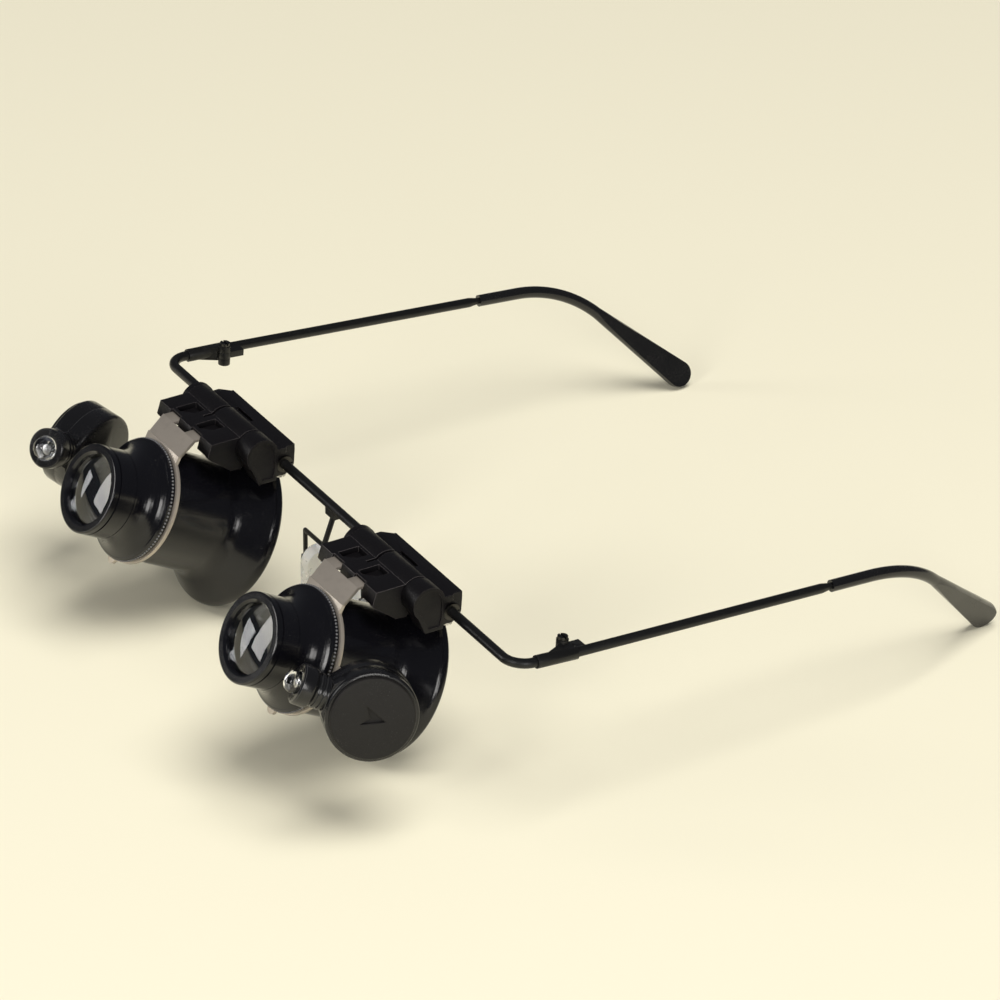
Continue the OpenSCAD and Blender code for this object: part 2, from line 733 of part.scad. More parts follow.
glass_y = 1.3; // back of the lip in front of the lens
lens_t = 4.2;
lens_ball = 33; // radius of the lenses' outer faces
spacer_t = 2.6;
ring_t = 1.8;
ring_in = aperture_r - 0.6;
glass_r = lens_r + seat_gap;

// how far a lens's face falls back at a distance from its middle
function sag(r) = lens_ball - sqrt(lens_ball * lens_ball - r * r);

// each piece in the cell lies against the one in front of it
first_y = glass_y + seat_gap - sag(aperture_r);
spacer_y = first_y + lens_t + seat_gap;
second_y = spacer_y + spacer_t + seat_gap;
ring_y = second_y + lens_t - sag(ring_in) + seat_gap;
spigot_end = cell_len + plate_t + spigot_len;
flange_y = cell_len - 1.9;
flare_r = 6; // radius of the hollow shoulder between the barrel and the flange
flare_angle = 59;
step_y = flange_y - flare_r * sin(flare_angle); // where the barrel ends and the shoulder begins
line_y = 5.5; // the fine line round the barrel

module front_cell(side) {
    color("#17171a") at_loupe(side) turned() polygon(concat(
        [[aperture_r, 0.5], [aperture_r + 0.5, 0]],
        arc(barrel_r - 0.4, 0.4, 0.4, -90, 0, 4),
        [
            [barrel_r, 1.3], [barrel_r - 0.25, 1.4], [barrel_r - 0.25, 1.6], [barrel_r, 1.7],
            [barrel_r, line_y], [barrel_r - 0.12, line_y + 0.06], [barrel_r - 0.12, line_y + 0.18],
            [barrel_r, line_y + 0.24]
        ],
        arc(barrel_r + flare_r, step_y, flare_r, 180, 180 - flare_angle, 10),
        [
            [flange_r - 0.3, flange_y + 0.1], [flange_r, flange_y + 0.4], [flange_r, cell_len - 0.3],
            [flange_r - 0.3, cell_len], [spigot_r, cell_len], [spigot_r, spigot_end],
            [glass_r + 0.9, spigot_end], [glass_r + 0.9, ring_y + ring_t + 0.4],
            [glass_r, ring_y + ring_t + 0.4], [glass_r, glass_y], [aperture_r, glass_y]
        ]
    ));
}

// a lens whose bulging face has its middle at the given place, with the flat one behind it
module lens(from) {
    intersection() {
        rod_y(lens_r, from, from + lens_t);
        translate([0, from + lens_ball, 0]) sphere(r = lens_ball, $fn = 128);
    }
}

module front_lens(side) {
    color([0.5, 0.55, 0.7, 0.6]) at_loupe(side) lens(first_y);
}

module lens_spacer(side) {
    color("#2b2b2e") at_loupe(side) difference() {
        rod_y(lens_r, spacer_y, spacer_y + spacer_t);
        rod_y(ring_in, spacer_y - cut, spacer_y + spacer_t + cut);
    }
}

// the rear lens is the same as the front one, turned round
module rear_lens(side) {
    color([0.5, 0.55, 0.7, 0.6]) at_loupe(side) translate([0, 2 * second_y + lens_t, 0])
        mirror([0, 1, 0]) lens(second_y);
}

module lens_ring(side) {
    color("#2b2b2e") at_loupe(side) difference() {
        rod_y(lens_r, ring_y, ring_y + ring_t);
        rod_y(ring_in, ring_y - cut, ring_y + ring_t + cut);
    }
}

body_y = plate_back + seat_gap;
bell_angle = 42; // slope of the bell's side to the axis
bell_in = 5.5; // radius of the hollow curve from the body out to the bell's side
bell_out = 2.6; // radius of the round curve from there on to the rim
bell_run = cup_r - body_r - (bell_in + bell_out) * (1 - cos(bell_angle));
bell_end = loupe_len - lip_r;
bell_y = bell_end - (bell_in + bell_out) * sin(bell_angle) - bell_run / tan(bell_angle);

// the bell's profile, set in from its outer face
function bell(in) = concat(
    arc(body_r + bell_in, bell_y, bell_in + in, 180, 180 - bell_angle, 8),
    arc(cup_r - bell_out, bell_end, bell_out - in, -bell_angle, 0, 6)
);

module eyecup(side) {
    inner = body_r - cup_wall;
    rim = cup_r - lip_r;
    socket_end = spigot_end + 0.3;
    color("#141417") at_loupe(side) turned() polygon(concat(
        [[body_r + 0.4, body_y], [body_r + 0.4, body_y + 1], [body_r, body_y + 1.4]],
        bell(0),
        arc(rim, bell_end, lip_r, 18, 90, 4),
        [[cup_r - cup_wall, loupe_len - lip_r / 2]],
        reversed(bell(cup_wall)),
        [[inner, socket_end], [spigot_r + seat_gap, socket_end], [spigot_r + seat_gap, body_y]]
    ));
}

// Lamps

cap_r = cell_r + cap_rim;
case_r = cap_r + case_wall;
case_back = seam_out - inner_depth;
case_front = seam_out + outer_depth;
pocket_x = case_back + 0.9;
cap_x = pocket_x + 2 * cell_t + 1.6; // where the cap's seat begins
cap_proud = 0.8;
pocket_r = cell_r + 0.25;
neck_y = head_reach - head_len;
edge_r = 1.1;
half_seam = 0.02;

module lamp_form() {
    turned_x() polygon(concat(
        [[0, case_back]], arc(case_r - edge_r, case_back + edge_r, edge_r, -90, 0, 5),
        arc(case_r - 0.7, case_front - 0.7, 0.7, 0, 90, 4), [[0, case_front]]
    ));
    // the shoulder from the case in to the neck
    across(case_back + edge_r, case_front - edge_r) polygon([
        [-neck_y + 2.6, -neck_r], [-neck_y + 2.6, neck_r],
        [-case_r * cos(48), case_r * sin(48)], [-case_r * cos(48), -case_r * sin(48)]
    ]);
    rod_y(neck_r, -neck_y - slack, -case_r / 2);
    for (i = [0:neck_ribs - 1]) translate([0, -neck_y + 0.5 + 1.1 * i, 0]) rod_y(neck_r + 0.4, 0, 0.6);
    turned() polygon(concat(
        [[0, -head_reach], [head_r - 0.3, -head_reach], [head_r, -head_reach + 0.3]],
        arc(head_r - edge_r, -neck_y - edge_r, edge_r, 0, 90, 5), [[0, -neck_y]]
    ));
}

reflector_t = 0.3;
bulb_seat = 2.9;

module lamp_hollow() {
    rod_x(pocket_r, pocket_x, cap_x + cut);
    rod_x(cap_r + run_fit, cap_x, case_front + slack);
    rod_y(1.1, -neck_y - slack, -cell_r + 0.5);
    rod_y(bulb_r + reflector_t + seat_gap, -head_reach - slack, -head_reach + bulb_seat);
}

// what lies on one side of the seam between the two shells
module lamp_half(from, to) {
    translate([from, -2 * case_r, -2 * case_r]) cube([to - from, 4 * case_r, 4 * case_r]);
}

module lamp_inner(side) {
    color("#1b1b1e") at_loupe(side) difference() {
        union() {
            in_lamp() intersection() {
                lamp_form();
                lamp_half(-2 * case_r, seam_out - half_seam);
            }
            difference() {
                translate([0, swivel_y, 0]) rod_x(boss_r, boss_from, lamp_out - case_r * 0.3);
                in_lamp() lamp_half(case_back + 0.5, 2 * case_r);
            }
        }
        in_lamp() lamp_hollow();
        translate([0, swivel_y, 0]) rod_x(swivel_r + run_fit, boss_from - cut, pin_reach + pass_gap);
    }
}

module lamp_outer(side) {
    color("#202024") at_loupe(side) in_lamp() difference() {
        intersection() {
            lamp_form();
            lamp_half(seam_out + half_seam, 2 * case_r);
        }
        lamp_hollow();
    }
}

module coin_cells(side) {
    color("#b9bbbd") at_loupe(side) in_lamp() for (i = [0, 1]) {
        x = pocket_x + seat_gap + i * (cell_t + seat_gap);
        rod_x(cell_r, x, x + cell_t * 0.7);
        rod_x(cell_r * 0.86, x, x + cell_t);
    }
}

contact_r = cell_r - 1.8;

module contact(side) {
    x = pocket_x + 2 * cell_t + 3 * seat_gap;
    top = cap_x - pass_gap;
    leaf = 0.25;
    color("#c8b070") at_loupe(side) in_lamp() turned_x() polygon([
        [contact_r, x], [contact_r, x + leaf], [2, top], [0, top], [0, top - leaf], [1.9, top - leaf]
    ]);
}

arrow_size = 2.2;
arrow_deep = 0.7;

module battery_cap(side) {
    top = case_front + cap_proud;
    color("#3a3a3d") at_loupe(side) in_lamp() difference() {
        turned_x() polygon([
            [0, cap_x + run_fit], [cap_r, cap_x + run_fit], [cap_r, top - 0.3],
            [cap_r - 0.3, top], [0, top]
        ]);
        // the arrow-shaped recess for a fingernail
        translate([top - arrow_deep, 0, 0]) rotate([90, 0, 90]) linear_extrude(2 * arrow_deep)
            polygon(arrow_size * [[-1, 0.9], [1.15, 0.1], [-0.9, -0.95], [-0.25, -0.05]]);
    }
}

module reflector(side) {
    color("#d8d8d8") at_loupe(side) in_lamp() difference() {
        rod_y(bulb_r + reflector_t, -head_reach + 0.2, -head_reach + bulb_seat - seat_gap);
        rod_y(bulb_r + seat_gap, -head_reach - cut, -head_reach + bulb_seat + cut);
    }
}

leg_x = 0.6; // from the bulb's axis to each of its legs
leg_r = 0.25;

module bulb(side) {
    color([0.9, 0.92, 0.95, 0.6]) at_loupe(side) in_lamp() {
        rod_y(bulb_r, -head_reach - 0.4, -head_reach + bulb_seat - seat_gap);
        translate([0, -head_reach - 0.4, 0]) sphere(r = bulb_r);
        for (x = [-leg_x, leg_x]) translate([x, 0, 0])
            rod_y(leg_r, -head_reach + bulb_seat - cut, -cell_r - 0.4);
    }
}

front_bar();
hinge_screws();
nose_wire();
pad_screws();
hinge_block(1);  // hinge_block_left
hinge_block(-1);  // hinge_block_right
nose_pad(1);  // nose_pad_left
nose_pad(-1);  // nose_pad_right
temple_rod(1);  // temple_rod_left
temple_rod(-1);  // temple_rod_right
temple_tip(1);  // temple_tip_left
temple_tip(-1);  // temple_tip_right
clip_liner(1);  // clip_liner_left
clip_liner(-1);  // clip_liner_right
clip_base(1);  // clip_base_left
clip_base(-1);  // clip_base_right
clip_screw(1);  // clip_screw_left
clip_screw(-1);  // clip_screw_right
flip_pin(1);  // flip_pin_left
flip_pin(-1);  // flip_pin_right
flip_spring(1);  // flip_spring_left
flip_spring(-1);  // flip_spring_right
clip_leaf(1);  // clip_leaf_left
clip_leaf(-1);  // clip_leaf_right
mount_plate(1);  // mount_plate_left
mount_plate(-1);  // mount_plate_right
swivel_pin(1);  // swivel_pin_left
swivel_pin(-1);  // swivel_pin_right
front_cell(1);  // front_cell_left
front_cell(-1);  // front_cell_right
front_lens(1);  // front_lens_left
front_lens(-1);  // front_lens_right
lens_spacer(1);  // lens_spacer_left
lens_spacer(-1);  // lens_spacer_right
rear_lens(1);  // rear_lens_left
rear_lens(-1);  // rear_lens_right
lens_ring(1);  // lens_ring_left
lens_ring(-1);  // lens_ring_right
eyecup(1);  // eyecup_left
eyecup(-1);  // eyecup_right
lamp_inner(1);  // lamp_inner_left
lamp_inner(-1);  // lamp_inner_right
lamp_outer(1);  // lamp_outer_left
lamp_outer(-1);  // lamp_outer_right
coin_cells(1);  // coin_cells_left
coin_cells(-1);  // coin_cells_right
contact(1);  // contact_left
contact(-1);  // contact_right
reflector(1);  // reflector_left
reflector(-1);  // reflector_right
bulb(1);  // bulb_left
bulb(-1);  // bulb_right
battery_cap(1);  // battery_cap_left
battery_cap(-1);  // battery_cap_right
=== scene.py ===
"""The lighted spectacle loupe, dressed: each piece gets its finish, and what shows gets finer shapes."""

import json
import logging
import math
from dataclasses import dataclass, field
from enum import Enum

import bpy
from mathutils import Matrix, Vector

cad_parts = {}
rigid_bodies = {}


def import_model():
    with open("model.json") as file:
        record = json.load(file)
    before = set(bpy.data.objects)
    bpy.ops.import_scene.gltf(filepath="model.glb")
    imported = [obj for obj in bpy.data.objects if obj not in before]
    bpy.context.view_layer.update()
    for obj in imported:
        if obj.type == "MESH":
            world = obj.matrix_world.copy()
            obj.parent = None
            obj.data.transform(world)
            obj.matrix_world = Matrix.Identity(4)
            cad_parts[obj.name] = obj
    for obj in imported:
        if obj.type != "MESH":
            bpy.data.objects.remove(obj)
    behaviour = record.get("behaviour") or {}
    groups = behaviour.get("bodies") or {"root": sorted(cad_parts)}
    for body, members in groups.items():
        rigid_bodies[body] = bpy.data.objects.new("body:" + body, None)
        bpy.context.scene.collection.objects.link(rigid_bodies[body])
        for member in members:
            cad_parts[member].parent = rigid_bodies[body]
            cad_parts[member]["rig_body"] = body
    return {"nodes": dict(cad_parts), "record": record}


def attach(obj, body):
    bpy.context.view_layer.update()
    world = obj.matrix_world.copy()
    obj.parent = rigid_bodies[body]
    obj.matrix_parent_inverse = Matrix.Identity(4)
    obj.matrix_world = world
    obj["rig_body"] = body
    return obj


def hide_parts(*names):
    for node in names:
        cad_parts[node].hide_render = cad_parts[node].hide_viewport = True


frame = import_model()
LOG = logging.getLogger("loupe")
MM = 0.001
FRONT_EDGE = 0.4  # radius of the front barrel's rounded edge, in millimetres
WELD = 1e-6  # points closer than this are joined, in metres
BUMP_GAIN = 5.0  # the bump node's strength for each unit of a finish's bump
NUMBER = "NodeSocketFloat"
MIX_A, MIX_B, MIX_OUT = 6, 7, 2  # the colour sockets of a mix node
OWN_SLOT, EDGE_SLOT = -1, 1  # which finish a bevel's new faces take
SHAPE_ANGLE, RING_ANGLE, BEAD_ANGLE = 40.0, 60.0, 80.0  # edges up to this angle are shaded smooth
RING_SIDES, ROD_SIDES = 12, 24  # faces round a ring's section and round a rod
ROD_EDGE = 0.3  # width of a rod's rounded edge, as a share of its radius

Pair = tuple[float, float]
Triple = tuple[float, float, float]
Socket = bpy.types.NodeSocket


class Side(Enum):
    """The wearer's left and right side, with the sign that X has there."""

    LEFT = 1
    RIGHT = -1

    @property
    def word(self) -> str:
        """Names the side as the nodes do.

        Returns:
            The ending of this side's nodes.
        """
        return self.name.lower()


# Node groups


def new_group(
    name: str, inputs: dict[str, tuple[str, float]], outputs: dict[str, str]
) -> bpy.types.NodeTree:
    """Makes an empty shader group with named sockets.

    Args:
        name: The group's name.
        inputs: Socket type and default value of each input.
        outputs: Socket type of each output.

    Returns:
        The group, with its input and output nodes named "in" and "out".
    """
    tree = bpy.data.node_groups.new(name, "ShaderNodeTree")
    for label, (kind, value) in inputs.items():
        socket = tree.interface.new_socket(label, in_out="INPUT", socket_type=kind)
        socket.default_value = value
    for label, kind in outputs.items():
        tree.interface.new_socket(label, in_out="OUTPUT", socket_type=kind)
    tree.nodes.new("NodeGroupInput").name = "in"
    tree.nodes.new("NodeGroupOutput").name = "out"
    return tree


class Tree:
    """Short calls for wiring one node tree."""

    def __init__(self, tree: bpy.types.NodeTree) -> None:
        """Keeps the tree.

        Args:
            tree: A material's or group's node tree.
        """
        self.tree = tree

    def add(self, kind: str, settings: dict | None = None, **values: object) -> bpy.types.Node:
        """Adds a node.

        Args:
            kind: The node's type.
            settings: Properties of the node itself.
            values: Input values or sockets to join, by the input's name with spaces as underscores.

        Returns:
            The node.
        """
        node = self.tree.nodes.new(kind)
        for key, value in (settings or {}).items():
            setattr(node, key, value)
        for key, value in values.items():
            self.feed(node, key.replace("_", " "), value)
        return node

    def feed(self, node: bpy.types.Node, key: str | int, value: object) -> None:
        """Sets or joins one input.

        Args:
            node: The node that takes the value.
            key: The input's name or number.
            value: A number, colour or vector, or another node's output.
        """
        if isinstance(value, bpy.types.NodeSocket):
            self.tree.links.new(value, node.inputs[key])
        else:
            node.inputs[key].default_value = value

    def math(self, how: str, a: object, b: object = 0.0) -> Socket:
        """Joins two values by an operation of arithmetic.

        Args:
            how: The operation's name.
            a: First value or socket.
            b: Second value or socket.

        Returns:
            The result's socket.
        """
        node = self.tree.nodes.new("ShaderNodeMath")
        node.operation = how
        self.feed(node, 0, a)
        self.feed(node, 1, b)
        return node.outputs[0]

    def noise(self, place: object, scale: object, detail: float = 4.0, rough: float = 0.55) -> Socket:
        """Adds a noise pattern.

        Args:
            place: The socket with the coordinates.
            scale: Lumps per metre.
            detail: How many finer layers it has.
            rough: How strong those are.

        Returns:
            The socket with its values.
        """
        node = self.add("ShaderNodeTexNoise", Vector=place, Scale=scale, Detail=detail, Roughness=rough)
        return node.outputs["Fac"]

    def span(
        self, value: object, low: object, high: object, start: object = 0.0, end: object = 1.0
    ) -> Socket:
        """Maps a stretch of values onto another one.

        Args:
            value: The socket to map.
            low: Value that becomes start.
            high: Value that becomes end.
            start: First result.
            end: Last result.

        Returns:
            The mapped socket.
        """
        node = self.tree.nodes.new("ShaderNodeMapRange")
        for key, item in enumerate((value, low, high, start, end)):
            self.feed(node, key, item)
        return node.outputs[0]


@dataclass(frozen=True)
class Mottle:
    """The patterns of moulded plastic: lumps per metre, and the stretch of each one that shows."""

    blotch: float = 160.0
    smear: float = 900.0
    speck: float = 5200.0
    blotch_share: float = 0.6
    smear_share: float = 0.4
    gloss_span: Pair = (0.36, 0.64)
    speck_span: Pair = (0.68, 0.74)
    dusty_span: Pair = (0.45, 0.62)


@dataclass(frozen=True)
class Drawing:
    """The patterns of drawn metal: lumps per metre of its clouds, and the stretches that show."""

    cloud: float = 420.0
    share: float = 0.5
    gloss_span: Pair = (0.35, 0.65)
    tarnish_span: Pair = (0.5, 0.8)


MOTTLE = Mottle()
DRAWING = Drawing()


def moulding_group() -> bpy.types.NodeTree:
    """Builds the group for moulded plastic.

    Returns:
        A group that gives a mottled roughness, a fine height and a mask of faint dust.
    """
    tree = new_group(
        "moulding",
        {"Grain": (NUMBER, 4000.0), "Low": (NUMBER, 0.2), "High": (NUMBER, 0.35), "Dust": (NUMBER, 0.5)},
        {"Roughness": NUMBER, "Height": NUMBER, "Mask": NUMBER},
    )
    t = Tree(tree)
    source, out = tree.nodes["in"], tree.nodes["out"]
    place = t.add("ShaderNodeTexCoord").outputs["Object"]
    blotch = t.noise(place, MOTTLE.blotch, detail=3.0)
    fine = t.noise(place, source.outputs["Grain"], detail=2.0)
    smear = t.noise(place, MOTTLE.smear, detail=5.0, rough=0.65)
    blotches = t.math("MULTIPLY", blotch, MOTTLE.blotch_share)
    mixed = t.math("ADD", blotches, t.math("MULTIPLY", smear, MOTTLE.smear_share))
    low, high = source.outputs["Low"], source.outputs["High"]
    t.feed(out, "Roughness", t.span(mixed, *MOTTLE.gloss_span, low, high))
    t.feed(out, "Height", fine)
    specks = t.span(t.noise(place, MOTTLE.speck, detail=2.0, rough=0.4), *MOTTLE.speck_span)
    where = t.span(blotch, *MOTTLE.dusty_span)
    t.feed(out, "Mask", t.math("MULTIPLY", t.math("MULTIPLY", specks, where), source.outputs["Dust"]))
    return tree


def drawn_group() -> bpy.types.NodeTree:
    """Builds the group for sheet and wire metal.

    Returns:
        A group that gives roughness and height with fine lines along one direction, and a mask of tarnish.
    """
    tree = new_group(
        "drawn",
        {"Along": (NUMBER, 300.0), "Across": (NUMBER, 9000.0), "Low": (NUMBER, 0.2), "High": (NUMBER, 0.4)},
        {"Roughness": NUMBER, "Height": NUMBER, "Mask": NUMBER},
    )
    t = Tree(tree)
    source, out = tree.nodes["in"], tree.nodes["out"]
    place = t.add("ShaderNodeTexCoord").outputs["Object"]
    split = t.add("ShaderNodeSeparateXYZ", Vector=place)
    joined = t.add(
        "ShaderNodeCombineXYZ",
        X=t.math("MULTIPLY", split.outputs[0], source.outputs["Across"]),
        Y=t.math("MULTIPLY", split.outputs[1], source.outputs["Along"]),
        Z=t.math("MULTIPLY", split.outputs[2], source.outputs["Along"]),
    )
    lines = t.noise(joined.outputs[0], 1.0, detail=3.0)
    cloud = t.noise(place, DRAWING.cloud)
    streaks = t.math("MULTIPLY", lines, DRAWING.share)
    mixed = t.math("ADD", streaks, t.math("MULTIPLY", cloud, DRAWING.share))
    low, high = source.outputs["Low"], source.outputs["High"]
    t.feed(out, "Roughness", t.span(mixed, *DRAWING.gloss_span, low, high))
    t.feed(out, "Height", lines)
    t.feed(out, "Mask", t.span(cloud, *DRAWING.tarnish_span))
    return tree


MOULDING = moulding_group()
DRAWN = drawn_group()


# Finishes


@dataclass(frozen=True)
class Finish:
    """One finish: the values that its material is built from."""

    name: str
    color: Triple
    roughness: Pair = (0.2, 0.35)
    dust: float = 0.0
    dust_color: Triple = (0.25, 0.24, 0.22)
    grain: float = 4000.0
    bump: float = 0.02
    bump_deep: float = 0.0002
    metal: float = 0.0
    coat: float = 0.0
    coat_roughness: float = 0.08
    specular: float = 0.5

    def begin(self) -> tuple[bpy.types.Material, Tree, bpy.types.Node]:
        """Starts a material.

        Returns:
            The material, its tree and its Principled shader.
        """
        material = bpy.data.materials.new(self.name)
        material.use_nodes = True
        shader = material.node_tree.nodes["Principled BSDF"]
        shader.inputs["Metallic"].default_value = self.metal
        shader.inputs["Coat Weight"].default_value = self.coat
        shader.inputs["Coat Roughness"].default_value = self.coat_roughness
        shader.inputs["Specular IOR Level"].default_value = self.specular
        material.diffuse_color = (*self.color, 1.0)
        return material, Tree(material.node_tree), shader

    def tinted(self, t: Tree, mask: Socket) -> Socket:
        """Mixes the finish's colour with its dust.

        Args:
            t: The material's tree.
            mask: Where the dust lies.

        Returns:
            The mixed colour's socket.
        """
        mix = t.tree.nodes.new("ShaderNodeMix")
        mix.data_type = "RGBA"
        t.tree.links.new(mask, mix.inputs["Factor"])
        mix.inputs[MIX_A].default_value = (*self.color, 1.0)
        mix.inputs[MIX_B].default_value = (*self.dust_color, 1.0)
        return mix.outputs[MIX_OUT]

    def surface(self, t: Tree, shader: bpy.types.Node, group: bpy.types.Node, mask: Socket) -> None:
        """Joins a pattern group's results to the shader.

        Args:
            t: The material's tree.
            shader: Its Principled shader.
            group: The group's node.
            mask: Where the dust or tarnish lies.
        """
        t.feed(shader, "Roughness", group.outputs["Roughness"])
        t.feed(shader, "Base Color", self.tinted(t, mask))
        bump = t.add("ShaderNodeBump", Strength=self.bump * BUMP_GAIN, Distance=self.bump_deep,
                     Height=group.outputs["Height"])
        t.feed(shader, "Normal", bump.outputs["Normal"])

    def build(self) -> bpy.types.Material:
        """Builds the moulded or painted material.

        Returns:
            The material.
        """
        material, t, shader = self.begin()
        low, high = self.roughness
        group = t.add("ShaderNodeGroup", {"node_tree": MOULDING}, Grain=self.grain, Low=low, High=high,
                      Dust=self.dust)
        self.surface(t, shader, group, group.outputs["Mask"])
        return material


@dataclass(frozen=True)
class Metal(Finish):
    """A bare metal with drawn or brushed lines."""

    bump_deep: float = 0.0001
    metal: float = 1.0
    along: float = 300.0
    across: float = 9000.0

    def build(self) -> bpy.types.Material:
        """Builds the metal.

        Returns:
            The material.
        """
        material, t, shader = self.begin()
        low, high = self.roughness
        group = t.add("ShaderNodeGroup", {"node_tree": DRAWN}, Along=self.along, Across=self.across,
                      Low=low, High=high)
        self.surface(t, shader, group, t.math("MULTIPLY", group.outputs["Mask"], self.dust))
        return material


@dataclass(frozen=True)
class Clear(Finish):
    """Glass, clear epoxy or silicone."""

    ior: float = 1.5
    transmission: float = 1.0
    subsurface: float = 0.0
    scatter: Triple = (0.003, 0.0026, 0.0022)
    smear: float = 260.0
    gloss_span: Pair = (0.4, 0.7)
    dusty_span: Pair = (0.5, 0.8)

    def build(self) -> bpy.types.Material:
        """Builds the clear material, with faint smears in its gloss.

        Returns:
            The material.
        """
        material, t, shader = self.begin()
        shader.inputs["IOR"].default_value = self.ior
        shader.inputs["Transmission Weight"].default_value = self.transmission
        shader.inputs["Subsurface Weight"].default_value = self.subsurface
        shader.inputs["Subsurface Radius"].default_value = self.scatter
        place = t.add("ShaderNodeTexCoord").outputs["Object"]
        smear = t.noise(place, self.smear)
        t.feed(shader, "Roughness", t.span(smear, *self.gloss_span, *self.roughness))
        dusty = t.math("MULTIPLY", t.span(smear, *self.dusty_span), self.dust)
        t.feed(shader, "Base Color", self.tinted(t, dusty))
        return material


FINISHES = {finish.name: finish for finish in (
    Finish("coated_wire", (0.006, 0.006, 0.006), (0.28, 0.42), 0.2, bump=0.03, grain=3000.0, specular=0.35),
    Metal("screw_steel", (0.5, 0.49, 0.47), (0.22, 0.4), 0.4, (0.12, 0.11, 0.1)),
    Metal("dark_screw", (0.09, 0.088, 0.085), (0.25, 0.42), 0.5, (0.03, 0.03, 0.03)),
    Metal("spring_steel", (0.06, 0.058, 0.055), (0.3, 0.42), 0.4, (0.03, 0.03, 0.03)),
    Metal("nickel", (0.47, 0.42, 0.36), (0.32, 0.46), 0.4, (0.33, 0.29, 0.25), metal=0.6, along=500.0),
    Finish("tip_plastic", (0.006, 0.006, 0.0065), (0.18, 0.3), 0.2, coat=0.3, specular=0.4),
    Clear("silicone", (0.9, 0.9, 0.87), (0.25, 0.4), 0.25, (0.82, 0.8, 0.74), ior=1.42, transmission=0.25,
          subsurface=0.35),
    Finish("clip_plastic", (0.0055, 0.005, 0.0058), (0.34, 0.46), 0.12, bump=0.06, grain=3600.0,
           specular=0.2),
    # The pale finish of the clip's rounded edges: a painted highlight along the edges.
    Finish("clip_edge", (0.14, 0.125, 0.125), (0.3, 0.4), 0.2),
    Finish("tube_gloss", (0.0036, 0.0036, 0.005), (0.12, 0.2), 0.2, coat=0.25, specular=0.32),
    Finish("rim_gloss", (0.02, 0.02, 0.021), (0.1, 0.2), 0.3, coat=1.0, coat_roughness=0.05),
    # A pale grey on the flange's beads: a painted highlight on each bead.
    Finish("bead_wear", (0.12, 0.12, 0.125), (0.18, 0.3), 0.2, coat=0.5),
    Finish("inner_black", (0.006, 0.006, 0.006), (0.8, 0.9), 0.1, specular=0.05),
    Clear("lens_glass", (0.95, 0.97, 1.0), (0.0, 0.02), 0.1, (0.9, 0.92, 0.95), ior=1.52, specular=0.1),
    Finish("lamp_shell", (0.006, 0.006, 0.0068), (0.2, 0.3), 0.3, coat=0.2, specular=0.4),
    # The pale finish of the lamp shells' rounded edges: a painted highlight along the edges and the seam.
    Finish("shell_edge", (0.06, 0.06, 0.062), (0.2, 0.3), 0.2, coat=0.2),
    Finish("cap_plastic", (0.0085, 0.0078, 0.0075), (0.46, 0.56), 0.3, bump=0.05, grain=3200.0,
           specular=0.28),
    Metal("cell_steel", (0.6, 0.6, 0.6), (0.2, 0.35), 0.2, (0.4, 0.4, 0.4)),
    Metal("contact_metal", (0.7, 0.55, 0.28), (0.25, 0.4), 0.3, (0.4, 0.3, 0.15)),
    Clear("bulb_clear", (0.97, 0.98, 1.0), (0.0, 0.03), 0.1, (0.9, 0.9, 0.9)),
    Metal("bright", (0.9, 0.9, 0.88), (0.16, 0.28), 0.1, (0.6, 0.6, 0.6), bump=0.0),
)}

# The nodes whose finish isn't their material slot's own one
EXTRA = {"pad_screws": "dark_screw", "hinge_screws": "dark_screw", "reflector_left": "bright",
         "reflector_right": "bright", "flip_pin_left": "dark_screw", "flip_pin_right": "dark_screw"}


class Wardrobe:
    """Builds each finish once and gives it to pieces."""

    def __init__(self) -> None:
        """Starts with no material built."""
        self.made: dict[str, bpy.types.Material] = {}

    def material(self, name: str) -> bpy.types.Material:
        """Gives a finish's material.

        Args:
            name: The finish's name.

        Returns:
            The material, built on its first use.
        """
        if name not in self.made:
            self.made[name] = FINISHES[name].build()
        return self.made[name]

    def put(self, piece: bpy.types.Object, name: str) -> None:
        """Dresses a piece in one finish.

        Args:
            piece: The piece.
            name: The finish's name.
        """
        piece.data.materials.clear()
        piece.data.materials.append(self.material(name))

    def dress_nodes(self) -> None:
        """Gives every CAD node the finish of its material slot."""
        for entry in frame["record"]["subparts"]:
            node = entry["node"]
            self.put(frame["nodes"][node], EXTRA.get(node, entry["material_slot"]))


WARDROBE = Wardrobe()


# Shared modelling steps


def deselect() -> None:
    """Leaves every object deselected."""
    for item in bpy.context.selected_objects:
        item.select_set(False)


def take(piece: bpy.types.Object) -> None:
    """Makes a piece the only selected and the active one.

    Args:
        piece: The piece to work on.
    """
    deselect()
    piece.select_set(True)
    bpy.context.view_layer.objects.active = piece


def settle(piece: bpy.types.Object) -> None:
    """Puts a piece's place into its mesh.

    Args:
        piece: The piece.
    """
    take(piece)
    bpy.ops.object.transform_apply(location=True, rotation=True, scale=True)


def finish_with(piece: bpy.types.Object, kind: str, **settings: object) -> None:
    """Adds a modifier and applies it.

    Args:
        piece: The piece.
        kind: The modifier's type.
        settings: Its properties.
    """
    take(piece)
    modifier = piece.modifiers.new(kind.lower(), kind)
    for key, value in settings.items():
        setattr(modifier, key, value)
    bpy.ops.object.modifier_apply(modifier=modifier.name)


def smooth(piece: bpy.types.Object, degrees: float = 35.0) -> None:
    """Shades a piece smooth up to an angle.

    Args:
        piece: The piece.
        degrees: Edges sharper than this stay sharp.
    """
    take(piece)
    bpy.ops.object.shade_smooth_by_angle(angle=math.radians(degrees))


